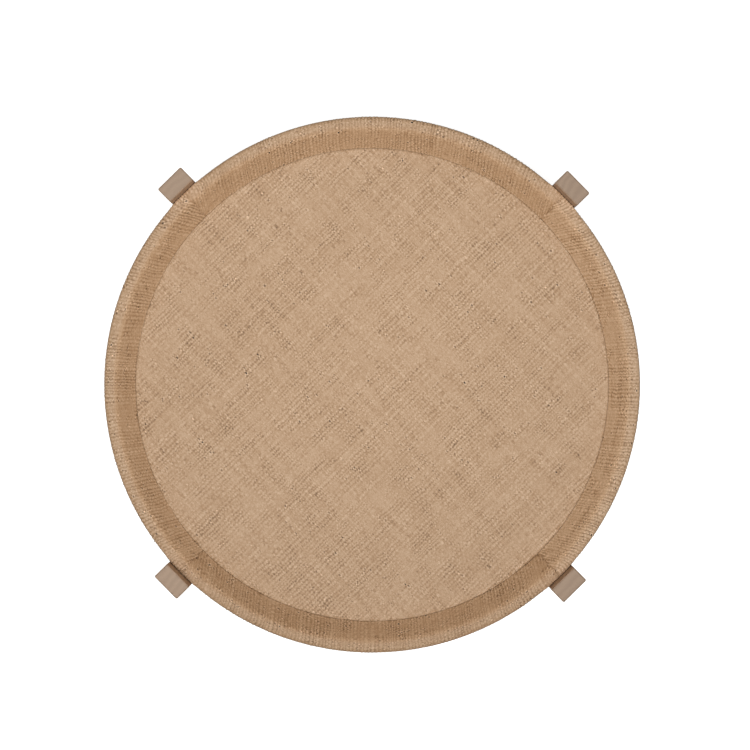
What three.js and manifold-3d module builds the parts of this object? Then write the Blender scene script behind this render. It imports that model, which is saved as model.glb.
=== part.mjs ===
// Round tray table: a tray covered with woven raffia, its rim raised, set into notches in four oak legs that
// rise past it. Millimetres, +Z up. The origin is on the floor, under the middle of the tray. The legs stand
// on the diagonals.

import * as THREE from 'three';
import { mergeVertices } from 'three/addons/utils/BufferGeometryUtils.js';
import Module from 'manifold-3d';

const wasm = await Module();
wasm.setup();

// Whole table
const rimHeight = 520; // floor to the top of the rim
const trayRadius = 305; // to the outside of the raffia
const fit = 0.3; // left between pieces that touch or are glued
const overrun = 5; // how far a cut runs past the face it opens

// Tray: the rim's outline is given at the outside of the raffia
const rimWidth = 35; // side of the tray to the crease at the foot of the rim
const rimRise = 20; // top of the rim above the field
const slopeAngle = THREE.MathUtils.degToRad(44); // inner side of the rim, from level
const innerShoulder = 10; // radius where the slope rolls over to the top
const outerShoulder = 4.5; // radius where the top rolls over to the side
const lowerEdge = 5; // radius where the side turns in under the tray
const clothThickness = 1.2;
const hemWidth = 28; // raffia turned in under the tray, past the lower edge
const panelThickness = 18;
const rimLapLength = 34; // half lap between two segments of the rim, along the rim
const toeHeight = 1; // left upright at the toe of the rim's core
const backingThickness = 3;
const backingInset = 18; // side of the tray to the edge of the backing

// Legs
const legWidth = 36; // across
const legDepth = 36; // towards the middle of the table
const legRise = 40; // top of the rim to the top of a leg
const tongueThickness = 20; // of the part of a leg that stands up outside the tray
const trayClearance = 0.5; // side of the tray to the tongue of a leg
const arris = 1.2; // chamfer on the edges of the oak

// Rails
const railThickness = 22;
const railDepth = 55;
const tenonThickness = 10;
const tenonLength = 22;
const tenonShoulder = 8; // above and below a tenon

// Screws through the rails into the panel
const screwLength = 50; // under the head
const screwBite = 12; // into the panel
const screwRadius = 2.2;
const screwPoint = 4; // length of the tapered point
const screwHeadRadius = 4.5;
const screwHeadHeight = 2.8;
const driveWidth = 1.1; // cross slot in the head
const driveLength = 4.6;
const driveDepth = 1.5;
const counterboreRadius = 6;
const innerScrewPlace = 110; // from the middle of a rail
const outerScrewInset = 68; // from the face of a leg

// Glides under the legs
const glideRadius = 11;
const glideThickness = 5;
const glideEdge = 1.5; // rounding round the foot of a glide
const nailHeadRadius = 3.3;
const nailHeadThickness = 1.2;
const nailHeadDepth = 1; // floor to the head of the nail
const nailRadius = 1.4;
const nailLength = 20; // under the head
const nailPoint = 3;

// Facets
const ringSteps = 72;
const shoulderSteps = 4;
const edgeSteps = 3;
const boreSteps = 16;
const nailSteps = 10;

// Levels, from the top of the table down
const fieldTop = rimHeight - rimRise;
const panelTop = fieldTop - clothThickness - fit;
const panelBottom = panelTop - panelThickness;
const hemTop = panelBottom - fit;
const trayBottom = hemTop - clothThickness;
const backingTop = trayBottom - fit;
const railTop = backingTop - backingThickness - fit;
const railBottom = railTop - railDepth;
const legTop = rimHeight + legRise;
const legSeat = trayBottom - fit;
const legFoot = glideThickness + fit;
const tenonTop = railTop - tenonShoulder;
const tenonBottom = railBottom + tenonShoulder;
const screwSeat = panelBottom + screwBite - screwLength; // floor of a counterbore

// Places, from the middle of the table outwards
const fieldRadius = trayRadius - rimWidth;
const coreInset = clothThickness + fit; // raffia outside to wood
const fieldClothRadius = fieldRadius - fit;
const hemRadius = trayRadius - lowerEdge - hemWidth;
const backingRadius = trayRadius - backingInset;
const tongueFace = trayRadius + trayClearance;
const legReach = tongueFace + tongueThickness; // outer face of a leg
const legFace = legReach - legDepth;
const legAxis = legReach - legDepth / 2;
const screwPlaces = { inner: innerScrewPlace, outer: legFace - outerScrewInset };

const quarter = Math.PI / 2;
const diagonals = { northeast: 1, northwest: 3, southwest: 5, southeast: 7 }; // in eighths of a turn from +X
const sides = { east: 0, north: 1, west: 2, south: 3 }; // in quarters of a turn from +X

// Solids

function solidOf(geometry) {
  const bare = geometry.clone();
  bare.deleteAttribute('normal');
  bare.deleteAttribute('uv');
  const merged = mergeVertices(bare.index ? bare.toNonIndexed() : bare);
  const corners = merged.index.array;
  const kept = [];
  for (let i = 0; i < corners.length; i += 3) {
    const [a, b, c] = corners.slice(i, i + 3);
    if (a !== b && b !== c && c !== a) kept.push(a, b, c);
  }
  return new wasm.Manifold(new wasm.Mesh({
    numProp: 3,
    vertProperties: new Float32Array(merged.attributes.position.array),
    triVerts: new Uint32Array(kept),
  }));
}

function geometryOf(solid) {
  const mesh = solid.getMesh();
  const geometry = new THREE.BufferGeometry();
  geometry.setAttribute('position', new THREE.BufferAttribute(new Float32Array(mesh.vertProperties), 3));
  geometry.setIndex(new THREE.BufferAttribute(new Uint32Array(mesh.triVerts), 1));
  geometry.computeVertexNormals();
  return geometry;
}

// Turns a closed outline of [radius, height] points about the vertical axis. The outside of the outline
// runs upwards.
function turned(outline, steps) {
  const closed = [...outline, outline[0]].map((point) => new THREE.Vector2(...point));
  return solidOf(new THREE.LatheGeometry(closed, steps).rotateX(quarter));
}

// A solid with this outline of [out, height] points seen from the side, centred across, its side edges
// chamfered
function slab(outline, width, chamfer = 0) {
  const shape = new THREE.Shape(outline.map((point) => new THREE.Vector2(...point)));
  const depth = width - 2 * chamfer;
  const geometry = new THREE.ExtrudeGeometry(shape, {
    depth,
    bevelEnabled: chamfer > 0,
    bevelSegments: 1,
    bevelThickness: chamfer,
    bevelSize: chamfer,
    bevelOffset: -chamfer,
  });
  return solidOf(geometry.translate(0, 0, -depth / 2).rotateX(quarter));
}

function rectangle(low, high) {
  return [[low[0], low[1]], [high[0], low[1]], [high[0], high[1]], [low[0], high[1]]];
}

// An upright rod or hole between two levels, its axis this far out along +X
function rod(out, radius, low, high, steps) {
  const geometry = new THREE.CylinderGeometry(radius, radius, high - low, steps).rotateX(quarter);
  return solidOf(geometry.translate(out, 0, (low + high) / 2));
}

// The part of the plane between two angles, from one level to another, held back by half a gap on both sides
function sector(from, to, gap, low, high) {
  const half = (to - from) / 2;
  const reach = 2 * trayRadius;
  const tip = new THREE.Vector2(gap / 2 / Math.sin(half), 0).rotateAround(new THREE.Vector2(), from + half);
  const along = (angle) => new THREE.Vector2(reach, 0).rotateAround(new THREE.Vector2(), angle).add(tip);
  const shape = new THREE.Shape([tip, along(from), along(to)]);
  const geometry = new THREE.ExtrudeGeometry(shape, { depth: high - low, bevelEnabled: false });
  return solidOf(geometry.translate(0, 0, low));
}

// Takes the square corners off an outline that runs anticlockwise, but leaves its hollow corners
function chamfered(outline, chamfer) {
  return outline.flatMap((corner, i) => {
    const point = new THREE.Vector2(...corner);
    const before = new THREE.Vector2(...outline.at(i - 1)).sub(point).normalize();
    const after = new THREE.Vector2(...outline[(i + 1) % outline.length]).sub(point).normalize();
    if (before.cross(after) > 0) return [corner];
    return [before, after].map((way) => point.clone().addScaledVector(way, chamfer).toArray());
  });
}

// Rim

function arc(centre, radius, from, to, steps) {
  return Array.from({ length: steps + 1 }, (_, i) => {
    const angle = from + (to - from) * i / steps;
    return [centre[0] + radius * Math.cos(angle), centre[1] + radius * Math.sin(angle)];
  });
}

// Where the slope stands at a height, at a depth under the raffia's outside
function slopeRadius(height, inset) {
  return fieldRadius + inset / Math.sin(slopeAngle) + (height - fieldTop) / Math.tan(slopeAngle);
}

// The rim's outline from the top of the slope, over the top, to the foot of the side, at a depth under the
// outside
function rimTop(inset) {
  const level = rimHeight - innerShoulder;
  const inner = [slopeRadius(level, innerShoulder), level];
  const outer = [trayRadius - outerShoulder, rimHeight - outerShoulder];
  return [
    ...arc(inner, innerShoulder - inset, quarter + slopeAngle, quarter, shoulderSteps),
    ...arc(outer, outerShoulder - inset, quarter, 0, shoulderSteps),
  ];
}

function lowerTurn(inset) {
  return arc([trayRadius - lowerEdge, trayBottom + lowerEdge], lowerEdge - inset, 0, -quarter, edgeSteps);
}

// The raffia, from the top of the slope to the end of its hem
function clothLine(inset) {
  return [...rimTop(inset), ...lowerTurn(inset), [hemRadius, trayBottom + inset]];
}

// The raffia is cut upright at the crease, where it meets the field.
function rimClothRing() {
  const foot = panelTop + fit;
  return turned([
    ...clothLine(0).reverse(),
    [fieldRadius, fieldTop],
    [fieldRadius, foot],
    [slopeRadius(foot, clothThickness), foot],
    ...clothLine(clothThickness),
  ], ringSteps);
}

function rimCloth(ring, middle) {
  const from = middle - quarter / 2;
  return ring.intersect(sector(from, from + quarter, fit, trayBottom - overrun, rimHeight + overrun));
}

function rimCoreRing() {
  const foot = panelTop + fit;
  const toeTop = foot + toeHeight;
  const toe = slopeRadius(toeTop, coreInset);
  const side = trayRadius - coreInset;
  return turned([[toe, foot], [side, foot], ...rimTop(coreInset).reverse(), [toe, toeTop]], ringSteps);
}

// One segment of the rim's wooden core. Its lower half starts early and its upper half ends late, so that
// each segment laps over the next.
function rimCore(ring, start) {
  const lap = rimLapLength / ((fieldRadius + trayRadius) / 2);
  const end = start + quarter;
  const low = panelTop - overrun;
  const high = rimHeight + overrun;
  const middle = (panelTop + rimHeight - clothThickness) / 2;
  const lower = sector(start, end, fit, low, middle);
  const whole = sector(start + lap, end, fit, low, high);
  const upper = sector(start + lap, end + lap, fit, middle + fit, high);
  return ring.intersect(lower.add(whole).add(upper));
}

// Tray

// Holes for the screws, in what the rails carry
function screwHoles(low, high) {
  const row = Object.values(screwPlaces)
    .map((out) => rod(out, screwRadius + fit, low, high, boreSteps))
    .reduce((all, hole) => all.add(hole));
  return Object.values(diagonals)
    .map((eighth) => row.rotate([0, 0, THREE.MathUtils.radToDeg(eighth * quarter / 2)]))
    .reduce((all, holes) => all.add(holes));
}

function trayPanel() {
  const side = trayRadius - coreInset;
  const turn = lowerTurn(coreInset).reverse();
  const round = turned([[0, panelBottom], ...turn, [side, panelTop], [0, panelTop]], ringSteps);
  return round.subtract(screwHoles(panelBottom - overrun, panelBottom + screwBite + fit));
}

function disc(radius, low, high) {
  return rod(0, radius, low, high, ringSteps);
}

function trayBacking() {
  const board = disc(backingRadius, backingTop - backingThickness, backingTop);
  return board.subtract(screwHoles(backingTop - backingThickness - overrun, backingTop + overrun));
}

// Legs and rails, each built out along +X

function leg() {
  const outline = [
    [legFace, legFoot],
    [legReach, legFoot],
    [legReach, legTop],
    [tongueFace, legTop],
    [tongueFace, legSeat],
    [legFace, legSeat],
  ];
  const post = slab(chamfered(outline, arris), legWidth, arris);
  const mortise = slab(
    rectangle([legFace - overrun, tenonBottom - fit], [legFace + tenonLength + fit, tenonTop + fit]),
    tenonThickness + 2 * fit,
  );
  const nailTip = nailHeadDepth + nailHeadThickness + nailLength;
  const nailHole = rod(legAxis, nailRadius + fit, legFoot - overrun, nailTip + fit, nailSteps);
  return post.subtract(mortise).subtract(nailHole);
}

// One of the two rails. Where they cross, one is cut from its top and the other from its underside.
function rail(cutFromTop) {
  const half = legFace - fit;
  const body = slab(rectangle([-half, railBottom], [half, railTop]), railThickness, arris);
  const tenonEnd = legFace + tenonLength;
  const tenons = slab(rectangle([-tenonEnd, tenonBottom], [tenonEnd, tenonTop]), tenonThickness);
  const middle = (railTop + railBottom) / 2;
  const slotHalf = railThickness / 2 + fit;
  const slot = cutFromTop
    ? rectangle([-slotHalf, middle - fit / 2], [slotHalf, railTop + overrun])
    : rectangle([-slotHalf, railBottom - overrun], [slotHalf, middle + fit / 2]);
  let wood = body.add(tenons).subtract(slab(slot, railThickness + 2 * overrun));
  for (const at of Object.values(screwPlaces).flatMap((out) => [out, -out])) {
    wood = wood.subtract(rod(at, counterboreRadius, railBottom - overrun, screwSeat, boreSteps));
    wood = wood.subtract(rod(at, screwRadius + fit, railBottom, railTop + overrun, boreSteps));
  }
  return wood;
}

// Fasteners and feet

function screw(out) {
  const under = screwSeat - fit;
  const foot = under - screwHeadHeight;
  const tip = under + screwLength;
  const crownShare = 0.6; // of the head's radius, flat on its crown
  const cheekShare = 0.35; // of the head's height, left upright at its edge
  const shank = turned([
    [0, foot],
    [screwHeadRadius * crownShare, foot],
    [screwHeadRadius, under - screwHeadHeight * cheekShare],
    [screwHeadRadius, under],
    [screwRadius, under],
    [screwRadius, tip - screwPoint],
    [0, tip],
  ], boreSteps);
  const slot = slab(
    rectangle([-driveLength / 2, foot - overrun], [driveLength / 2, foot + driveDepth]),
    driveWidth,
  );
  const crossSlot = slot.rotate([0, 0, THREE.MathUtils.radToDeg(quarter)]);
  return shank.subtract(slot.add(crossSlot)).translate([out, 0, 0]);
}

function glide() {
  const recess = nailHeadDepth + nailHeadThickness + fit;
  return turned([
    [nailHeadRadius + fit, 0],
    [glideRadius - glideEdge, 0],
    [glideRadius, glideEdge],
    [glideRadius, glideThickness],
    [nailRadius + fit, glideThickness],
    [nailRadius + fit, recess],
    [nailHeadRadius + fit, recess],
  ], boreSteps).translate([legAxis, 0, 0]);
}

function nail() {
  const under = nailHeadDepth + nailHeadThickness;
  const tip = under + nailLength;
  return turned([
    [0, nailHeadDepth],
    [nailHeadRadius, nailHeadDepth],
    [nailHeadRadius, under],
    [nailRadius, under],
    [nailRadius, tip - nailPoint],
    [0, tip],
  ], nailSteps).translate([legAxis, 0, 0]);
}

// Materials

const looks = {
  raffia: { color: 0xbea083, roughness: 0.75, metalness: 0 },
  oak: { color: 0xa79180, roughness: 0.6, metalness: 0 },
  plywood: { color: 0xd2b48a, roughness: 0.7, metalness: 0 },
  poplar: { color: 0xcfc09a, roughness: 0.7, metalness: 0 },
  board: { color: 0x4a4038, roughness: 0.8, metalness: 0 },
  steel: { color: 0xb5b2a8, roughness: 0.35, metalness: 1 },
  nylon: { color: 0x2b2927, roughness: 0.5, metalness: 0 },
};

// Assembly

const table = new THREE.Group();

function place(name, solid, look, turn = 0) {
  const mesh = new THREE.Mesh(geometryOf(solid), new THREE.MeshStandardMaterial(looks[look]));
  mesh.name = name;
  mesh.rotation.z = turn;
  table.add(mesh);
}

place('tray_panel', trayPanel(), 'plywood');
place('field_cloth', disc(fieldClothRadius, fieldTop - clothThickness, fieldTop), 'raffia');
place('tray_backing', trayBacking(), 'board');

const coreRing = rimCoreRing();
Object.keys(diagonals).forEach((name, i) => {
  place(`rim_core_${name}`, rimCore(coreRing, i * quarter), 'poplar');
});

const clothRing = rimClothRing();
for (const [name, quarters] of Object.entries(sides)) {
  place(`rim_cloth_${name}`, rimCloth(clothRing, quarters * quarter), 'raffia');
}

const legSolid = leg();
const glideSolid = glide();
const nailSolid = nail();
for (const [name, eighth] of Object.entries(diagonals)) {
  const turn = eighth * quarter / 2;
  place(`leg_${name}`, legSolid, 'oak', turn);
  place(`glide_${name}`, glideSolid, 'nylon', turn);
  place(`glide_nail_${name}`, nailSolid, 'steel', turn);
  for (const [row, out] of Object.entries(screwPlaces)) {
    place(`tray_screw_${row}_${name}`, screw(out), 'steel', turn);
  }
}

place('cross_rail_northeast', rail(true), 'oak', quarter / 2);
place('cross_rail_northwest', rail(false), 'oak', 3 * quarter / 2);

export default table;
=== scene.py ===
import math
from types import SimpleNamespace

import bpy
import numpy as np
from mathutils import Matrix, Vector


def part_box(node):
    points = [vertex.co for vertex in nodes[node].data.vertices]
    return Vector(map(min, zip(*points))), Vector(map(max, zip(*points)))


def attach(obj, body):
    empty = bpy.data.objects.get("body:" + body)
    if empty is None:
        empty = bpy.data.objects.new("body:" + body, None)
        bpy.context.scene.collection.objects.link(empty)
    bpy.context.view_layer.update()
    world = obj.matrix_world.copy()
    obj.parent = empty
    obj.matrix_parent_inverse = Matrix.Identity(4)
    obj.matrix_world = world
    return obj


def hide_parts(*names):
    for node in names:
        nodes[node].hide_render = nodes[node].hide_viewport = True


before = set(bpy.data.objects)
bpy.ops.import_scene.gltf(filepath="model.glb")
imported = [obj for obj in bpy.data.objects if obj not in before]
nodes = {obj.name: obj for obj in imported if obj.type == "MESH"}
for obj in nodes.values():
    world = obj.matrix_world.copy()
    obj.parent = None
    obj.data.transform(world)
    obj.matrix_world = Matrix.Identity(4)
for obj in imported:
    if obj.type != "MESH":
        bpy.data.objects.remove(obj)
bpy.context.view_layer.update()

# Sizes in metres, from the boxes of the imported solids
rim_low, rim_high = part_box("rim_cloth_east")
field_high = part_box("field_cloth")[1]
TRAY_RADIUS = rim_high.x
RIM_TOP = rim_high.z
TRAY_BOTTOM = rim_low.z
FIELD_TOP = field_high.z
LEG_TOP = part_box("leg_northeast")[1].z

# Sizes that their boxes don't give, as their source has them
MM = 0.001
SLOPE = math.radians(44)  # of the rim's inner wall
INNER_SHOULDER = 10 * MM
OUTER_SHOULDER = 4.5 * MM
LOWER_EDGE = 5 * MM
HEM_WIDTH = 28 * MM
CLOTH = 1.2 * MM
FIT = 0.3 * MM
LEG_WIDTH = 36 * MM
LEG_REACH = 325.5 * MM  # from the table's axis to a leg's outer face
CREASE = field_high.x + FIT  # radius at which the rim's slope meets the field
CREST_RADIUS = TRAY_RADIUS - OUTER_SHOULDER  # of the outer end of the rim's flat top
QUARTER = math.pi / 2

# Weave, where strands are the broad straw and threads are the thinner straw across them.
# A height in it is about 0 in the gaps and 1 on the strands
RELIEF = 0.55 * MM  # from a height of 0 to a height of 1
RELIEF_ABOVE = 0.15 * MM  # how far a height of 1 stands over the cloth's nominal outside
STRAND_CREST = 1.0  # height of a strand where it crosses over a thread
THREAD_CREST = 0.8  # height of a thread where it crosses over a strand
STRAND_PROUD, THREAD_PROUD = 0.12, 0.10  # how much strands, and threads, differ in height
MEAN_HEIGHT = 0.42  # that looser and tighter places have in common
LOWEST = -1.2  # that the weave reaches, still above the underside of the straw
DEPTH_RANGE = 0.1, 1.8  # of the weave's depth at a place, from tight to loose
RAGGED_LEAST = 0.4  # share of the straw's raggedness that is left where the weave has no depth
NARROWEST, WIDEST = 2, 2.5  # straw, in spreads from the mean
UNEVEN_SPREAD, UNEVEN_TAIL = 0.75, 0.55  # how wide the uneven values lie, and how far a few of them stray
UNEVEN_BELOW, UNEVEN_ABOVE = 1.2, 0.8  # by how much those below 0 and those above it are stretched
OVERRUN_STRANDS = 4  # that are woven past the cloth's edges and cut off

# Tones of the straw, in steps of lightness
STRAND_STRETCH, THREAD_STRETCH = 22, 16  # grid squares from one tone of a straw to its next
CROSSING_SPREAD = 0.5  # of the tones, from crossing to crossing
SPECK_SHARE = 0.006  # of the crossings, as dark specks, and as many again as light flecks
DARK_SPECK, LIGHT_FLECK = 4, 2.4
FINE_LEAST = 0.15  # share of the fine tones that is left where the weave has no depth
DEPTH_TONE = 0.2  # how much lighter the straw is painted where the weave is one depth looser, as painted light against the painted shade of its deeper gaps

FIELD = SimpleNamespace(
    strand_pitch=4.15 * MM,
    thread_pitch=2.8 * MM,
    strand_spread=0.19,  # of the strands' widths, as a share of their pitch
    thread_spread=0.15,
    strand_dip=0.5,  # height of the strands between two threads
    thread_dip=0.2,  # height of the threads between two strands
    hole=-0.15,  # height of the corners between four crossings
    depth=0.54,  # share of its heights that the weave has, in the mean
    patches=(((26, 26), 0.16), ((80, 20), 0.32), ((20, 96), 0.29)),  # of looser weave: how many, how loose
    ragged=0.11,  # spread of the heights, from grid point to grid point
    strand_bends=(30, 40),  # how many bends there are across the strands and along them
    thread_bends=(30, 30),
    strand_bend=0.5 * MM,
    thread_bend=0.6 * MM,
    fine_tone=2.4,  # spread of the tones, from grid square to grid square
    strand_tone=0.45,  # from strand to strand
    thread_tone=0.85,
    hidden_height=0.5,  # that the underside is given, for its shade
)
RIM = SimpleNamespace(
    strand_pitch=3.8 * MM,
    thread_pitch=2.75 * MM,
    strand_spread=0.17,
    thread_spread=0.2,
    strand_dip=0.68,
    thread_dip=0.04,
    hole=0.0,
    depth=0.8,
    patches=(((16, 5), 0.27), ((48, 15), 0.36)),
    ragged=0.12,
    strand_bends=(40, 8),
    thread_bends=(30, 10),
    strand_bend=0.5 * MM,
    thread_bend=0.4 * MM,
    fine_tone=2.7,
    strand_tone=0.8,
    thread_tone=0.3,
    hidden_height=0.3,
)


def smooth_noise(rng, shape, cells):
    """Random values that change smoothly over a grid: a coarse grid of them, drawn out by cosine steps"""
    coarse = rng.normal(0, 1, [cells[0] + 1, cells[1] + 1])
    for axis in (0, 1):
        place = np.linspace(0, cells[axis], shape[axis])
        low = np.minimum(place.astype(int), cells[axis] - 1)
        part = (1 - np.cos((place - low) * math.pi)) / 2
        part = part[:, None] if axis == 0 else part[None, :]
        coarse = np.take(coarse, low, axis) * (1 - part) + np.take(coarse, low + 1, axis) * part
    return coarse


def uneven(rng, shape):
    """Random values, most of them near 0 and a few far off, further below than above"""
    values = rng.normal(0, UNEVEN_SPREAD, shape) * np.exp(rng.normal(0, UNEVEN_TAIL, shape))
    return np.where(values < 0, UNEVEN_BELOW, UNEVEN_ABOVE) * values


def lines(rng, total, pitch, spread):
    """Edges and middles of the straws that fill a length, edges at the even places"""
    count = round(total / pitch)
    widths = np.clip(rng.normal(1, spread, count), 1 - NARROWEST * spread, 1 + WIDEST * spread)
    edges = np.concatenate([[0], np.cumsum(widths)])
    edges = (edges / edges[-1] - 0.5) * total
    every = np.empty(2 * count + 1)
    every[0::2] = edges
    every[1::2] = (edges[1:] + edges[:-1]) / 2
    return every


def weave(rng, shape, kind):
    """Height of each grid point of a plain weave, which straw is on top of each square, and its depth"""
    across, along = np.meshgrid(np.arange(shape[0]), np.arange(shape[1]), indexing="ij")
    on_strand, on_thread = across % 2 == 1, along % 2 == 1
    strand_up = (across // 2 + along // 2) % 2 == 0
    height = np.select(
        [on_strand & on_thread & strand_up, on_strand & on_thread, on_strand, on_thread],
        [STRAND_CREST, THREAD_CREST, kind.strand_dip, kind.thread_dip],
        kind.hole,
    )
    proud = rng.normal(0, STRAND_PROUD, shape[0] // 2 + 1)[across // 2] * on_strand
    proud = proud + rng.normal(0, THREAD_PROUD, shape[1] // 2 + 1)[along // 2] * on_thread
    loose = sum(share * smooth_noise(rng, shape, cells) for cells, share in kind.patches)
    depth = np.clip(kind.depth + loose, *DEPTH_RANGE)
    height = MEAN_HEIGHT + (height + proud - MEAN_HEIGHT) * depth
    ragged = kind.ragged * (RAGGED_LEAST + (1 - RAGGED_LEAST) * depth)
    height = np.maximum(height + uneven(rng, shape) * ragged, LOWEST)
    return height, strand_up[:-1, :-1], depth[:-1, :-1]


def tones(rng, strand_up, depth, kind):
    """What the raffia's material reads on each square: which straw is on top and how light each straw is"""
    squares = strand_up.shape
    strands, threads = squares[0] // 2, squares[1] // 2
    place = np.arange(squares[0])[:, None], np.arange(squares[1])[None, :]
    straw = place[0] // 2, place[1] // 2
    strand = rng.normal(0, 1, strands + 1)[straw[0]] * kind.strand_tone
    thread = rng.normal(0, 1, threads + 1)[straw[1]] * kind.thread_tone
    strand_stretches = (strands, max(2, squares[1] // STRAND_STRETCH))
    thread_stretches = (threads, max(2, squares[0] // THREAD_STRETCH))
    along_strands = smooth_noise(rng, (strands + 1, squares[1]), strand_stretches)
    along_threads = smooth_noise(rng, (threads + 1, squares[0]), thread_stretches)
    strand = strand + along_strands[straw[0], place[1]] * kind.strand_tone
    thread = thread + along_threads.T[place[0], straw[1]] * kind.thread_tone
    crossing = uneven(rng, (strands + 1, threads + 1)) * CROSSING_SPREAD
    crossing -= DARK_SPECK * (rng.random(crossing.shape) < SPECK_SHARE)
    crossing += LIGHT_FLECK * (rng.random(crossing.shape) < SPECK_SHARE)
    fine = uneven(rng, squares)
    around = sum(np.roll(fine, step, axis) for step in (-1, 1) for axis in (0, 1)) / 4
    fine = (fine - around) * kind.fine_tone * (FINE_LEAST + (1 - FINE_LEAST) * depth)
    return {
        "strand_up": strand_up.astype(float),
        "strand_tone": strand,
        "thread_tone": thread,
        "crossing_tone": crossing[straw] + fine + DEPTH_TONE * (depth - depth.mean()),
    }


def woven(rng, width, length, kind):
    """Places on a grid across the strands and along them, the height of each, and its squares' values"""
    strand_lines = lines(rng, width, kind.strand_pitch, kind.strand_spread)
    thread_lines = lines(rng, length, kind.thread_pitch, kind.thread_spread)
    shape = (len(strand_lines), len(thread_lines))
    height, strand_up, depth = weave(rng, shape, kind)
    values = tones(rng, strand_up, depth, kind)
    across, along = np.meshgrid(strand_lines, thread_lines, indexing="ij")
    across = across + smooth_noise(rng, shape, kind.strand_bends) * kind.strand_bend
    along = along + smooth_noise(rng, shape, kind.thread_bends) * kind.thread_bend
    return across, along, height, values


def on_faces(values, squares, hidden):
    """Values of the squares that are kept, then zeros for the hidden faces of the underside and the edges"""
    return {key: np.concatenate([value[squares], np.zeros(hidden)]) for key, value in values.items()}


def cloth_object(name, points, faces, face_values, point_values, place_values):
    """A mesh with values on its faces and points for the raffia's material to read"""
    mesh = bpy.data.meshes.new(name)
    mesh.from_pydata(points.tolist(), [], faces)
    for key, values in face_values.items():
        mesh.attributes.new(key, "FLOAT", "FACE").data.foreach_set("value", values)
    for key, values in point_values.items():
        mesh.attributes.new(key, "FLOAT", "POINT").data.foreach_set("value", values)
    places = mesh.attributes.new("straw_place", "FLOAT_VECTOR", "POINT").data
    places.foreach_set("vector", np.ascontiguousarray(place_values).ravel())
    mesh.polygons.foreach_set("use_smooth", [True] * len(mesh.polygons))
    mesh.validate()
    made = bpy.data.objects.new(name, mesh)
    bpy.context.scene.collection.objects.link(made)
    return made


def open_edges(faces):
    """The edges that only one face has, each as that face runs"""
    seen = {}
    for face in faces:
        for a, b in zip(face, face[1:] + face[:1]):
            seen[(a, b)] = True
    return [edge for edge in seen if (edge[1], edge[0]) not in seen]


def edge_loop(faces):
    """The points around the outside of a sheet of faces, one after the other"""
    follows = dict(open_edges(faces))
    loop = [next(iter(follows))]
    while follows[loop[-1]] != loop[0]:
        loop.append(follows[loop[-1]])
    return loop


# Field
FIELD_SEED = 11
FIELD_TURN = math.radians(45)  # strands of the field, from +X
CREASE_GAP = 0.04 * MM  # between the field's edge and the foot of the rim
FOLD = 8 * MM  # radius at which the straw bends where the rim's slope meets the field
FOLD_LENGTH = FOLD * math.tan(SLOPE / 2)
FOLD_AT_CREASE = math.asin(FOLD_LENGTH / FOLD)  # how far the straw has turned up where the field ends


def make_field():
    """The flat round of straw inside the rim, with its edge bent up to meet the rim's slope"""
    rng = np.random.default_rng(FIELD_SEED)
    radius = CREASE - CREASE_GAP
    span = 2 * radius + OVERRUN_STRANDS * FIELD.strand_pitch
    across, along, height, values = woven(rng, span, span, FIELD)
    x = along * math.cos(FIELD_TURN) - across * math.sin(FIELD_TURN)
    y = along * math.sin(FIELD_TURN) + across * math.cos(FIELD_TURN)
    past_fold = np.clip(np.hypot(x, y) - (CREASE - FOLD_LENGTH), 0, FOLD_LENGTH)
    z = FIELD_TOP + RELIEF_ABOVE - (1 - height) * RELIEF + FOLD - np.sqrt(FOLD ** 2 - past_fold ** 2)

    middle_x = (x[:-1, :-1] + x[1:, 1:]) / 2
    middle_y = (y[:-1, :-1] + y[1:, 1:]) / 2
    kept = np.hypot(middle_x, middle_y) < radius
    index = np.arange(x.size).reshape(x.shape)
    i, j = np.nonzero(kept)
    quads = np.stack([index[i, j], index[i, j + 1], index[i + 1, j + 1], index[i + 1, j]], 1)
    used, fresh = np.unique(quads, return_inverse=True)
    faces = fresh.reshape(quads.shape).tolist()
    points = np.stack([x.ravel()[used], y.ravel()[used], z.ravel()[used]], 1)

    loop = edge_loop(faces)
    away = np.hypot(points[loop, 0], points[loop, 1])
    points[loop, :2] *= (radius / away)[:, None]
    below = points[loop].copy()
    below[:, 2] = FIELD_TOP - CLOTH
    under = list(range(len(points), len(points) + len(loop)))
    pairs = zip(loop, loop[1:] + loop[:1], under, under[1:] + under[:1])
    hidden = [[b, a, c, d] for a, b, c, d in pairs] + [under[::-1]]

    places = np.stack([across.ravel()[used], along.ravel()[used], np.zeros(len(used))], 1)
    under_height = np.full(len(loop), FIELD.hidden_height)
    return cloth_object(
        "raffia_field",
        np.concatenate([points, below]),
        faces + hidden,
        on_faces(values, kept, len(hidden)),
        {"straw_height": np.concatenate([height.ravel()[used], under_height])},
        np.concatenate([places, places[loop]]),
    )


# Rim
RIM_SEED, SEAM_SEED = 20, 40
# How far the strands turn away from straight across the rim at each end of a quarter, in degrees,
# clockwise end first, as the photograph shows it on the slope
SPLAY = {"east": (36, 30), "north": (28, 28), "west": (31, 22), "south": (36, 30)}
CREST_SPLAY_SHARE = 0.3  # of that turn, at the outer end of the crest
CREST_WIDTH = 9 * MM
STRIP_LIGHT_AND_SHADE = {"east": 1.7, "north": -0.8, "west": 0.1, "south": -1.7}  # painted light and shade of each quarter, as light falls on its side, in steps lighter than the field
STRIP_SHIFT = 100 * MM  # between the strips' places in the noise, so that no two have the same fibres
LEG_SHOULDER = 1.0 * MM  # the rim's outer shoulder where a leg holds the raffia flat
LEG_TURN = math.radians(3.6)  # a leg holds the raffia from its middle up to here
LEG_END_TURN = math.radians(5.5)  # and leaves it free from here on
LEG_BULGE = 0.25 * MM  # how far the raffia swells towards the leg that holds it
SEAM_GAP = 0.04 * MM
SEAM_WANDER = 1.1 * MM  # of a seam to either side of the diagonal
SEAM_WAVES = (1.0, 21 * MM), (0.6, 11 * MM), (0.35, 6 * MM)  # shares of that wander, and the waves' lengths
FRAY_DEPTH = 0.35  # how much lower the weave is at the seams
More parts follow.
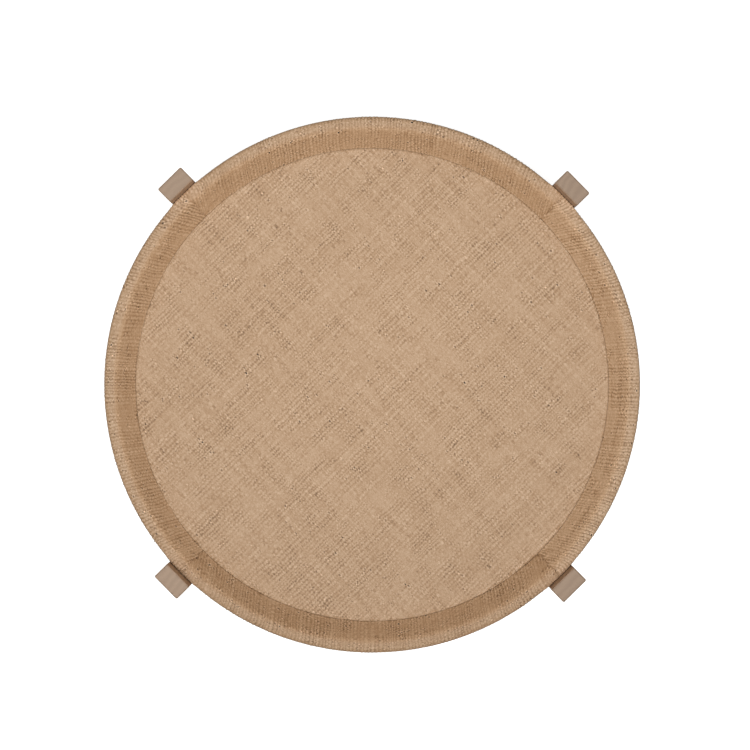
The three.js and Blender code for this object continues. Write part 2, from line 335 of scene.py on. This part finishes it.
FRAY_REACH = 1.8 * MM
FRAY_MEAN, FRAY_SPREAD, FRAY_MOST = 0.5, 0.5, 1.3  # shares of that depth, along a seam
FRAY_ACROSS, FRAY_ALONG = 3, 4  # grid points from one of these shares to the next
ARC_STEPS, FOLD_STEPS = 24, 6  # points on each of the profile's arcs, and on what is left of the fold
AREA_STEPS = 400


def rim_profile(shoulder):
    """The rim's outside from the crease over the top to the hem's end: [radius, height] and the way out"""
    level = RIM_TOP - INNER_SHOULDER
    inner = (
        CREASE + INNER_SHOULDER / math.sin(SLOPE) + (level - FIELD_TOP) / math.tan(SLOPE),
        level,
    )
    outer = (TRAY_RADIUS - shoulder, RIM_TOP - shoulder)
    lower = (TRAY_RADIUS - LOWER_EDGE, TRAY_BOTTOM + LOWER_EDGE)
    points, outward = [], []
    for angle in np.linspace(FOLD_AT_CREASE, SLOPE, FOLD_STEPS):
        way = (-math.sin(angle), math.cos(angle))
        points.append((CREASE - FOLD_LENGTH - FOLD * way[0], FIELD_TOP + FOLD - FOLD * way[1]))
        outward.append(way)
    for centre, radius, start, end in (
        (inner, INNER_SHOULDER, QUARTER + SLOPE, QUARTER),
        (outer, shoulder, QUARTER, 0),
        (lower, LOWER_EDGE, 0, -QUARTER),
    ):
        for angle in np.linspace(start, end, ARC_STEPS):
            way = (math.cos(angle), math.sin(angle))
            points.append((centre[0] + radius * way[0], centre[1] + radius * way[1]))
            outward.append(way)
    points.append((TRAY_RADIUS - LOWER_EDGE - HEM_WIDTH, TRAY_BOTTOM))
    outward.append((0, -1))
    return np.array(points), np.array(outward)


def normalised(ways):
    return ways / np.linalg.norm(ways, axis=-1, keepdims=True)


def along_profile(share, shoulder):
    """The place at a share of the rim's outside, from the crease to the hem's end, and the way out there"""
    points, outward = rim_profile(shoulder)
    reach = np.concatenate([[0], np.cumsum(np.linalg.norm(np.diff(points, axis=0), axis=1))])
    reach /= reach[-1]
    place = np.stack([np.interp(share, reach, points[:, k]) for k in (0, 1)], -1)
    way = np.stack([np.interp(share, reach, outward[:, k]) for k in (0, 1)], -1)
    return place, normalised(way)


profile_steps = np.diff(rim_profile(OUTER_SHOULDER)[0], axis=0)
PROFILE_LENGTH = float(np.linalg.norm(profile_steps, axis=1).sum())


def seam_wander(corner, along):
    """How far the seam over a leg strays from the diagonal, along the rim's profile"""
    rng = np.random.default_rng(SEAM_SEED + corner % 4)
    return SEAM_WANDER * sum(
        share * np.sin(math.tau * (along / length + rng.random())) for share, length in SEAM_WAVES
    )


def held_by_legs(turn):
    """1 where a leg holds the raffia flat, down to 0 where it lies free"""
    from_leg = QUARTER / 2 - np.abs(turn)
    return np.clip((LEG_END_TURN - from_leg) / (LEG_END_TURN - LEG_TURN), 0, 1)


def strip_profile(along, held):
    """Places on the rim's outside and the ways out, with the tighter shoulder where a leg holds them"""
    open_place, open_way = along_profile(along / PROFILE_LENGTH, OUTER_SHOULDER)
    leg_place, leg_way = along_profile(along / PROFILE_LENGTH, LEG_SHOULDER)
    place = open_place + (leg_place - open_place) * held[..., None]
    return place, normalised(open_way + (leg_way - open_way) * held[..., None])


def splayed(turn, radius, name):
    """Where the strands that cross the crest at some turns go on their way inwards, since they fan out"""
    low, high = (math.radians(angle) for angle in SPLAY[name])
    splay = np.where(turn < 0, low, high) * turn / (QUARTER / 2)
    inwards = np.maximum(0, CREST_RADIUS - radius)
    on_crest = np.minimum(inwards, CREST_WIDTH)
    drift = inwards - (1 - CREST_SPLAY_SHARE) * (on_crest - on_crest ** 2 / (2 * CREST_WIDTH))
    return turn + np.tan(splay) * drift / radius


def seam_limits(quarters, along, radius):
    """The turns at which the strip ends, its clockwise end first"""
    margin = SEAM_GAP / 2 / radius
    low = -QUARTER / 2 + seam_wander(quarters, along) / radius + margin
    high = QUARTER / 2 + seam_wander(quarters + 1, along) / radius - margin
    return low, high


def frayed(rng, height, from_seam):
    """The weave's height, lower and uneven near the seams"""
    cells = (height.shape[0] // FRAY_ACROSS, height.shape[1] // FRAY_ALONG)
    fray = np.clip(FRAY_MEAN + smooth_noise(rng, height.shape, cells) * FRAY_SPREAD, 0, FRAY_MOST)
    return height - FRAY_DEPTH * fray * np.exp(-from_seam / FRAY_REACH)


def joined_past_seams(over):
    """Numbers of the grid's points, one number for all the points of a row that lie past the same seam"""
    index = np.arange(over.size).reshape(over.shape)
    half = over.shape[0] // 2
    for j in range(over.shape[1]):
        for past in (np.nonzero(over[half:, j])[0] + half, np.nonzero(over[:half, j])[0][::-1]):
            if len(past):
                index[past, j] = index[past[0], j]
    return index


def strip_faces(index):
    """Faces between the numbered points, without those that the seams cut off, and each face's square"""
    faces, squares = [], []
    for i, j in np.ndindex(index.shape[0] - 1, index.shape[1] - 1):
        corners = [index[i, j], index[i + 1, j], index[i + 1, j + 1], index[i, j + 1]]
        face = [corner for k, corner in enumerate(corners) if corner != corners[k - 1]]
        if len(face) > 2:
            faces.append(face)
            squares.append((i, j))
    return faces, tuple(np.array(squares).T)


def make_rim(name, quarters):
    """The strip over a quarter of the rim whose middle is that many quarter turns from +X"""
    rng = np.random.default_rng(RIM_SEED + quarters)
    span = CREST_RADIUS * QUARTER + OVERRUN_STRANDS * RIM.strand_pitch
    across, along, height, values = woven(rng, span, PROFILE_LENGTH, RIM)
    # Painted light and shade of this quarter, as light falls on its side
    values["crossing_tone"] += STRIP_LIGHT_AND_SHADE[name]
    along = np.clip(along + PROFILE_LENGTH / 2, 0, PROFILE_LENGTH)
    along[:, 0], along[:, -1] = 0, PROFILE_LENGTH

    turn = across / CREST_RADIUS
    held = held_by_legs(turn)
    place, way = strip_profile(along, held)
    radius, level = place[..., 0], place[..., 1]
    out, up = way[..., 0], way[..., 1]
    turn = splayed(turn, radius, name)
    low, high = seam_limits(quarters, along, radius)
    over = (turn <= low) | (turn >= high)
    turn = np.clip(turn, low, high)
    height = frayed(rng, height, np.minimum(turn - low, high - turn) * radius)
    rise = RELIEF_ABOVE - (1 - height) * RELIEF + LEG_BULGE * held * np.clip(out, 0, 1)
    # Mask for the painted shade on the rim's slope
    on_slope = np.clip((CREST_RADIUS - CREST_WIDTH / 2 - radius) / (CREST_WIDTH / 2), 0, 1) * (up > 0)
    turn = turn + quarters * QUARTER

    def raised(amount):
        away = radius + out * amount
        points = np.stack([away * np.cos(turn), away * np.sin(turn), level + up * amount], -1)
        return points.reshape(-1, 3)

    faces, squares = strip_faces(joined_past_seams(over))
    used, fresh = np.unique(np.concatenate(faces), return_inverse=True)
    count = len(used)
    ends = np.cumsum([len(face) for face in faces])[:-1]
    outer_faces = [face[::-1].tolist() for face in np.split(fresh, ends)]
    hidden = [[k + count for k in face][::-1] for face in outer_faces]
    hidden += [[b, a, a + count, b + count] for a, b in open_edges(outer_faces)]

    places = np.stack([across.ravel()[used], along.ravel()[used], np.full(count, STRIP_SHIFT * quarters)], 1)
    return cloth_object(
        "raffia_rim_" + name,
        np.concatenate([raised(rise)[used], raised(-CLOTH)[used]]),
        outer_faces + hidden,
        on_faces(values, squares, len(hidden)),
        {
            "straw_height": np.concatenate([height.ravel()[used], np.full(count, RIM.hidden_height)]),
            "slope": np.concatenate([on_slope.ravel()[used]] * 2),
        },
        np.concatenate([places, places]),
    )


# Materials
NOISE_RANGE = 0.3, 0.7  # where most values of a noise texture lie
NOISE_REACH = 0.2, 0.8  # where nearly all of them lie


class Nodes:
    """Builds one material's nodes"""

    def __init__(self, name):
        self.material = bpy.data.materials.new(name)
        self.material.use_nodes = True
        self.tree = self.material.node_tree
        self.shader = self.tree.nodes["Principled BSDF"]

    def add(self, kind, inputs=None, **settings):
        node = self.tree.nodes.new("ShaderNode" + kind)
        for key, value in settings.items():
            setattr(node, key, value)
        for key, value in (inputs or {}).items():
            self.put(node.inputs[key], value)
        return node

    def put(self, socket, value):
        if isinstance(value, bpy.types.NodeSocket):
            self.tree.links.new(value, socket)
        else:
            socket.default_value = value

    def attribute(self, name, kind="Fac"):
        return self.add("Attribute", attribute_name=name).outputs[kind]

    def object_place(self):
        return self.add("TexCoord").outputs["Object"]

    def math(self, operation, a, b=0.0, c=0.0):
        return self.add("Math", {0: a, 1: b, 2: c}, operation=operation).outputs[0]

    def blend(self, factor, a, b, kind="FLOAT", **settings):
        node = self.add("Mix", data_type=kind, **settings)
        first, second, result = {"FLOAT": (2, 3, 0), "RGBA": (6, 7, 2)}[kind]
        self.put(node.inputs[0], factor)
        self.put(node.inputs[first], a)
        self.put(node.inputs[second], b)
        return node.outputs[result]

    def spread(self, value, low, high, to_low=0.0, to_high=1.0):
        node = self.add("MapRange", {"Value": value, "From Min": low, "From Max": high,
                                     "To Min": to_low, "To Max": to_high})
        return node.outputs["Result"]

    def scaled(self, vector, scale, turn=(0, 0, 0)):
        return self.add("Mapping", {"Vector": vector, "Scale": scale, "Rotation": turn}).outputs["Vector"]

    def noise(self, vector, scale=1.0, detail=2.0, roughness=0.5):
        return self.add("TexNoise", {"Vector": vector, "Scale": scale, "Detail": detail,
                                     "Roughness": roughness}).outputs["Fac"]

    def lit(self, colour, light):
        return self.add("VectorMath", {0: colour, "Scale": light}, operation="SCALE").outputs[0]

    def bump(self, height, strength, distance):
        node = self.add("Bump", {"Height": height, "Strength": strength, "Distance": distance})
        return node.outputs["Normal"]

    def set(self, **values):
        for key, value in values.items():
            self.put(self.shader.inputs[key.replace("_", " ")], value)
        return self.material


def scaled_colour(colour, share):
    return tuple(part * share for part in colour[:3]) + (1,)


RAFFIA_DARK, RAFFIA_LIGHT = (0.560, 0.342, 0.187, 1), (0.533, 0.375, 0.247, 1)
RAFFIA_LIGHTS = 0.75, 1.15  # the lightness at which the straw has each of these colours
SLOPE_SHADE_TINT = (1.03, 0.982, 0.928, 1)  # painted shade: the warmer, deeper colour of the raffia on the rim's slope in shade, against the rest of it
TONE_STEP = 0.045  # of lightness
# Waves per metre across the strands, along them and from strip to strip, and what they add to the lightness
STRAND_FIBRES, THREAD_FIBRES, FIBRE_SHADES = (2600, 70, 900), (70, 3400, 900), (-0.10, 0.10)
FLECKS, FLECK_SHADES = (1200, 700, 900), (-0.18, 0.14)
CLOUDS, CLOUD_SHADES = (30, 30, 40), (-0.02, 0.02)
GAP_HEIGHTS, GAP_SHADE_LIGHTS = (-0.4, 0.5), (0.45, 1.05)  # painted shade in the weave: how light the straw is painted, from deep in a gap upwards, a little lighter than its own colour on the crowns
STRAW_ROUGHNESS = 0.62, 0.5
STRAW_SPECULAR = 0.2
STRAW_BUMP = 0.35, 0.2 * MM  # strength and height


def raffia():
    n = Nodes("raffia")
    place = n.attribute("straw_place", "Vector")
    up = n.attribute("strand_up")
    along_strand = n.noise(n.scaled(place, STRAND_FIBRES))
    along_thread = n.noise(n.scaled(place, THREAD_FIBRES))
    fibre = n.blend(up, along_thread, along_strand)
    tone = n.blend(up, n.attribute("thread_tone"), n.attribute("strand_tone"))
    tone = n.math("MULTIPLY", tone, TONE_STEP)
    tone = n.math("MULTIPLY_ADD", n.attribute("crossing_tone"), TONE_STEP, tone)
    tone = n.math("ADD", tone, n.spread(fibre, *NOISE_RANGE, *FIBRE_SHADES))
    fleck = n.noise(n.scaled(place, FLECKS), detail=1)
    tone = n.math("ADD", tone, n.spread(fleck, *NOISE_RANGE, *FLECK_SHADES))
    cloudy = n.noise(n.scaled(place, CLOUDS))
    tone = n.math("ADD", tone, n.spread(cloudy, *NOISE_RANGE, *CLOUD_SHADES))
    # Painted shade deep in the weave's gaps, from the straw's height
    gap_shade = n.spread(n.attribute("straw_height"), *GAP_HEIGHTS, *GAP_SHADE_LIGHTS)
    light = n.math("MULTIPLY", n.math("ADD", 1.0, tone), gap_shade)
    colour = n.blend(n.spread(light, *RAFFIA_LIGHTS), RAFFIA_DARK, RAFFIA_LIGHT, "RGBA")
    # Painted shade on the rim's slope
    slope_shaded = n.blend(1.0, colour, SLOPE_SHADE_TINT, "RGBA", blend_type="MULTIPLY")
    colour = n.blend(n.attribute("slope"), colour, slope_shaded, "RGBA")
    return n.set(Base_Color=n.lit(colour, light), Specular_IOR_Level=STRAW_SPECULAR,
                 Roughness=n.spread(fibre, *NOISE_REACH, *STRAW_ROUGHNESS),
                 Normal=n.bump(fibre, *STRAW_BUMP))


# The darker and the lighter tone of each wood
OAK = (0.350, 0.240, 0.163, 1), (0.420, 0.293, 0.201, 1)
BIRCH = (0.560, 0.420, 0.270, 1), (0.660, 0.520, 0.360, 1)
POPLAR = (0.520, 0.450, 0.290, 1), (0.620, 0.550, 0.380, 1)
# Waves per metre across the grain, across it again and along it
WOOD_DRIFT, WOOD_FIBRES, WOOD_PORES = (9, 9, 1.6), (900, 900, 16), (1900, 1900, 60)
RING_STRETCH = (1, 1, 0.03)
RING_SCALE, RING_DISTORTION, RING_DETAIL, RING_DETAIL_SCALE = 38, 6, 2, 0.8
# What each lays over the wood: between which of its values it comes in, and its share where it is full
DRIFT_SHARES = *NOISE_RANGE, 0, 0.6
FIBRE_SHARES = 0.35, 0.75, 0, 0.5
PORE_SHARES = 0.62, 0.72, 0, 0.5
# How light each is, against the wood's lighter tone and, for the fibres, its darker one
DRIFT_LIGHT, FIBRE_LIGHT, PORE_LIGHT = 0.9, 0.87, 1.1
FIBRE_DETAIL, FIBRE_ROUGHNESS = 3, 0.6  # of the noise that makes them
WOOD_ROUGHNESS = 0.55, 0.7
WOOD_BUMP = 0.3, 0.3 * MM


def wood_nodes(name, tones, turn):
    """Open-grained wood. turn lays the grain's own axes on the piece: long grain along the third."""
    dark, light = tones
    n = Nodes(name)
    laid = n.scaled(n.object_place(), (1, 1, 1), turn)
    rings = n.add("TexWave", {"Vector": n.scaled(laid, RING_STRETCH), "Scale": RING_SCALE,
                              "Distortion": RING_DISTORTION, "Detail": RING_DETAIL,
                              "Detail Scale": RING_DETAIL_SCALE}, wave_type="BANDS",
                  bands_direction="X").outputs["Fac"]
    drift = n.noise(n.scaled(laid, WOOD_DRIFT))
    fibres = n.noise(n.scaled(laid, WOOD_FIBRES), detail=FIBRE_DETAIL, roughness=FIBRE_ROUGHNESS)
    pores = n.noise(n.scaled(laid, WOOD_PORES), detail=1)
    base = n.blend(rings, dark, light, "RGBA")
    base = n.blend(n.spread(drift, *DRIFT_SHARES), base, scaled_colour(light, DRIFT_LIGHT), "RGBA")
    base = n.blend(n.spread(fibres, *FIBRE_SHARES), base, scaled_colour(dark, FIBRE_LIGHT), "RGBA")
    base = n.blend(n.spread(pores, *PORE_SHARES), base, scaled_colour(light, PORE_LIGHT), "RGBA")
    n.set(Base_Color=base, Roughness=n.spread(fibres, *NOISE_REACH, *WOOD_ROUGHNESS),
          Normal=n.bump(fibres, *WOOD_BUMP))
    return n, laid, base


def wood(name, tones, turn):
    return wood_nodes(name, tones, turn)[0].material


DIAGONAL = math.radians(45)  # of the legs and the rails, from +X
LEG_TONES = -0.3, 0.3, 1.12, 0.93  # places across the table, then how light the oak of the legs there is
SIDE_GRAIN_AND_FILL = 1.5  # how much lighter the legs' sides are than the end grain of their tops, partly the grain's own colour and partly painted light on the sides, which the lamp overhead leaves in shade
EDGE_DARK = 0.4 * MM  # painted shade on a leg's top is full up to here from its edges
EDGE_FADE = 2 * MM  # and that has faded out here
EDGE_SHADE_SHARE, EDGE_SHADE_LIGHT = 0.4, 0.5  # how much of the painted shade shows, and how light it is against the oak


def leg_material():
    """Oak with painted shade along the edges of its tops, at the arrises and beside the tray"""
    n, laid, base = wood_nodes("leg_oak", OAK, (0, 0, DIAGONAL))
    place = n.add("SeparateXYZ", {0: laid}).outputs
    ways = [n.math("ABSOLUTE", place[key]) for key in "XY"]
    out, aside = n.math("MAXIMUM", *ways), n.math("MINIMUM", *ways)
    # Painted shade along the edges of the top, at the arrises and beside the tray
    edge = n.spread(aside, LEG_WIDTH / 2 - EDGE_FADE, LEG_WIDTH / 2 - EDGE_DARK)
    edge = n.math("MAXIMUM", edge, n.spread(out, LEG_REACH - EDGE_FADE, LEG_REACH - EDGE_DARK))
    edge = n.math("MAXIMUM", edge, n.spread(out, TRAY_RADIUS + EDGE_FADE, TRAY_RADIUS + EDGE_DARK))
    edge = n.math("MULTIPLY", edge, n.spread(place["Z"], LEG_TOP - 2 * EDGE_FADE, LEG_TOP - EDGE_DARK))
    end_grain = n.spread(place["Z"], LEG_TOP - EDGE_DARK, LEG_TOP - EDGE_DARK / 4)
    # Sides lighter than the end grain of the tops, partly painted light on the shaded sides
    light = n.math("MULTIPLY", n.blend(end_grain, SIDE_GRAIN_AND_FILL, 1.0), n.spread(place["Y"], *LEG_TONES))
    dark = scaled_colour(OAK[0], EDGE_SHADE_LIGHT)
    base = n.blend(n.math("MULTIPLY", edge, EDGE_SHADE_SHARE), n.lit(base, light), dark, "RGBA")
    return n.set(Base_Color=base)


BOARD_DARK, BOARD_LIGHT = (0.085, 0.062, 0.046, 1), (0.125, 0.093, 0.070, 1)
BOARD_MOTTLE = (0.075, 0.056, 0.042, 1)
BOARD_MOTTLE_SHARES = 0.35, 0.65, 0, 0.35
BOARD_MOTTLES = 60  # waves per metre
BOARD_FIBRES = (700, 260, 700)
BOARD_ROUGHNESS = 0.55, 0.75
BOARD_BUMP = 0.2, 0.2 * MM


def board():
    """Thin board with a dark stain, with its short fibres"""
    n = Nodes("board")
    where = n.object_place()
    fibre = n.noise(n.scaled(where, BOARD_FIBRES), detail=3)
    mottle = n.noise(where, BOARD_MOTTLES)
    base = n.blend(n.spread(fibre, *NOISE_RANGE), BOARD_DARK, BOARD_LIGHT, "RGBA")
    base = n.blend(n.spread(mottle, *BOARD_MOTTLE_SHARES), base, BOARD_MOTTLE, "RGBA")
    return n.set(Base_Color=base, Roughness=n.spread(mottle, *NOISE_RANGE, *BOARD_ROUGHNESS),
                 Normal=n.bump(fibre, *BOARD_BUMP))


MOULDED_CLOUDS = 350  # waves per metre
# The darker and the lighter tone, and the range of the roughness
NYLON = (0.030, 0.027, 0.024, 1), (0.042, 0.038, 0.034, 1), (0.42, 0.55)
ZINC = (0.50, 0.49, 0.46, 1), (0.62, 0.61, 0.58, 1), (0.28, 0.42)


def moulded(name, dark, light, rough, metallic):
    """An even material with faint clouds in its colour and its gloss"""
    n = Nodes(name)
    clouds = n.noise(n.object_place(), MOULDED_CLOUDS, detail=3)
    base = n.blend(n.spread(clouds, *NOISE_RANGE), dark, light, "RGBA")
    return n.set(Base_Color=base, Roughness=n.spread(clouds, *NOISE_RANGE, *rough), Metallic=metallic)


# Raffia pieces, in place of the plain solids of the cloth
field = make_field()
raffia_material = raffia()
field.data.materials.append(raffia_material)
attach(field, "root")
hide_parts("field_cloth")

area_share = np.linspace(0, 1, AREA_STEPS)
strip_radii = along_profile(area_share, OUTER_SHOULDER)[0][:, 0]
for quarters, name in enumerate(SPLAY):
    piece = make_rim(name, quarters)
    piece.data.materials.append(raffia_material)
    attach(piece, "root")
    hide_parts("rim_cloth_" + name)


# Solids that stay, with their materials
def dressed(node, material):
    mesh = nodes[node].data
    mesh.materials.clear()
    mesh.materials.append(material)


LEVEL_GRAIN = (0, QUARTER, 0)
leg_oak = leg_material()
nylon = moulded("nylon", *NYLON, metallic=0.0)
steel = moulded("zinc_plated_steel", *ZINC, metallic=1.0)
poplar = wood("poplar", POPLAR, LEVEL_GRAIN)
for corner in ("northeast", "northwest", "southwest", "southeast"):
    dressed("leg_" + corner, leg_oak)
    dressed("rim_core_" + corner, poplar)
    dressed("glide_" + corner, nylon)
    for piece in ("glide_nail_", "tray_screw_inner_", "tray_screw_outer_"):
        dressed(piece + corner, steel)
for corner, turn in (("northeast", DIAGONAL), ("northwest", -DIAGONAL)):
    dressed("cross_rail_" + corner, wood("rail_oak_" + corner, OAK, (QUARTER, 0, turn)))
dressed("tray_panel", wood("birch_plywood", BIRCH, LEVEL_GRAIN))
dressed("tray_backing", board())


# Floor, white to the camera and in what reflects it, pale grey to the light and the shadow
FLOOR_SPAN = 12  # metres
FLOOR_GREY = (0.82, 0.82, 0.82, 1)
FLOOR_SHOWN = 0.80  # light that only the camera and reflections see
FLOOR_ROUGHNESS = 0.9
FLOOR_SPECULAR = 0.1
half_span = FLOOR_SPAN / 2
corners = [(x * half_span, y * half_span, 0) for x, y in ((-1, -1), (1, -1), (1, 1), (-1, 1))]
floor_mesh = bpy.data.meshes.new("floor")
floor_mesh.from_pydata(corners, [], [(0, 1, 2, 3)])
floor = bpy.data.objects.new("floor", floor_mesh)
bpy.context.scene.collection.objects.link(floor)
n = Nodes("floor")
path = n.add("LightPath").outputs
shown = n.math("MAXIMUM", path["Is Glossy Ray"], path["Is Transmission Ray"])
shown = n.math("MAXIMUM", path["Is Camera Ray"], shown)
n.set(Base_Color=FLOOR_GREY, Roughness=FLOOR_ROUGHNESS, Specular_IOR_Level=FLOOR_SPECULAR,
      Emission_Color=(1, 1, 1, 1), Emission_Strength=n.math("MULTIPLY", shown, FLOOR_SHOWN))
from_below = n.add("NewGeometry").outputs["Backfacing"]
clear = n.add("BsdfTransparent").outputs[0]
surface = n.add("MixShader", {0: from_below, 1: n.shader.outputs[0], 2: clear}).outputs[0]
n.put(n.tree.nodes["Material Output"].inputs["Surface"], surface)
floor_mesh.materials.append(n.material)

# Light: a weak warm surround, white only to the camera, and one lamp overhead
AMBIENT, AMBIENT_STRENGTH = (1, 0.96, 0.9, 1), 0.14
BACKDROP, BACKDROP_STRENGTH = (1, 1, 1, 1), 1.0
world = bpy.data.worlds.new("studio")
bpy.context.scene.world = world
world.use_nodes = True
tree = world.node_tree
ambient = tree.nodes["Background"]
backdrop = tree.nodes.new("ShaderNodeBackground")
chosen = tree.nodes.new("ShaderNodeMixShader")
for node, colour, strength in (
    (ambient, AMBIENT, AMBIENT_STRENGTH),
    (backdrop, BACKDROP, BACKDROP_STRENGTH),
):
    node.inputs["Color"].default_value = colour
    node.inputs["Strength"].default_value = strength
tree.links.new(tree.nodes.new("ShaderNodeLightPath").outputs["Is Camera Ray"], chosen.inputs[0])
tree.links.new(ambient.outputs[0], chosen.inputs[1])
tree.links.new(backdrop.outputs[0], chosen.inputs[2])
tree.links.new(chosen.outputs[0], tree.nodes["World Output"].inputs["Surface"])


def lamp(name, size, spread, power, place, aim):
    light = bpy.data.lights.new(name, "AREA")
    light.shape = "SQUARE"
    light.size = size
    light.energy = power
    light.spread = spread
    made = bpy.data.objects.new(name, light)
    made.location = place
    made.rotation_euler = (Vector(aim) - Vector(place)).to_track_quat("-Z", "Y").to_euler()
    bpy.context.scene.collection.objects.link(made)


lamp("overhead", size=1.16, spread=math.radians(30), power=6.42, place=(-0.10, -0.42, 5.0),
     aim=(-0.02, 0.12, 0.5))

# Camera: straight down on what is in the middle of the photograph, turned by its small roll
IMAGE = 750  # pixels
TRAY_IN_IMAGE = (372.2, 384.7)  # middle of the tray, in pixels from the left and from the top
TRAY_PIXELS = 268.17  # radius of the tray
ABOVE_RIM = 3.54  # metres from the rim's shoulder to the camera
ROLL = math.radians(0.5)
SENSOR = 36  # width in millimetres
pixel = TRAY_RADIUS / TRAY_PIXELS
camera_data = bpy.data.cameras.new("camera")
camera_data.sensor_width = SENSOR
camera_data.lens = SENSOR * ABOVE_RIM / (IMAGE * pixel)
camera = bpy.data.objects.new("camera", camera_data)
in_view = Vector((IMAGE / 2 - TRAY_IN_IMAGE[0], TRAY_IN_IMAGE[1] - IMAGE / 2, 0)) * pixel
camera.location = in_view + Vector((0, 0, RIM_TOP - OUTER_SHOULDER + ABOVE_RIM))
camera.rotation_euler = (0, 0, ROLL)
bpy.context.scene.collection.objects.link(camera)
bpy.context.scene.camera = camera
bpy.context.scene.view_settings.view_transform = "Standard"
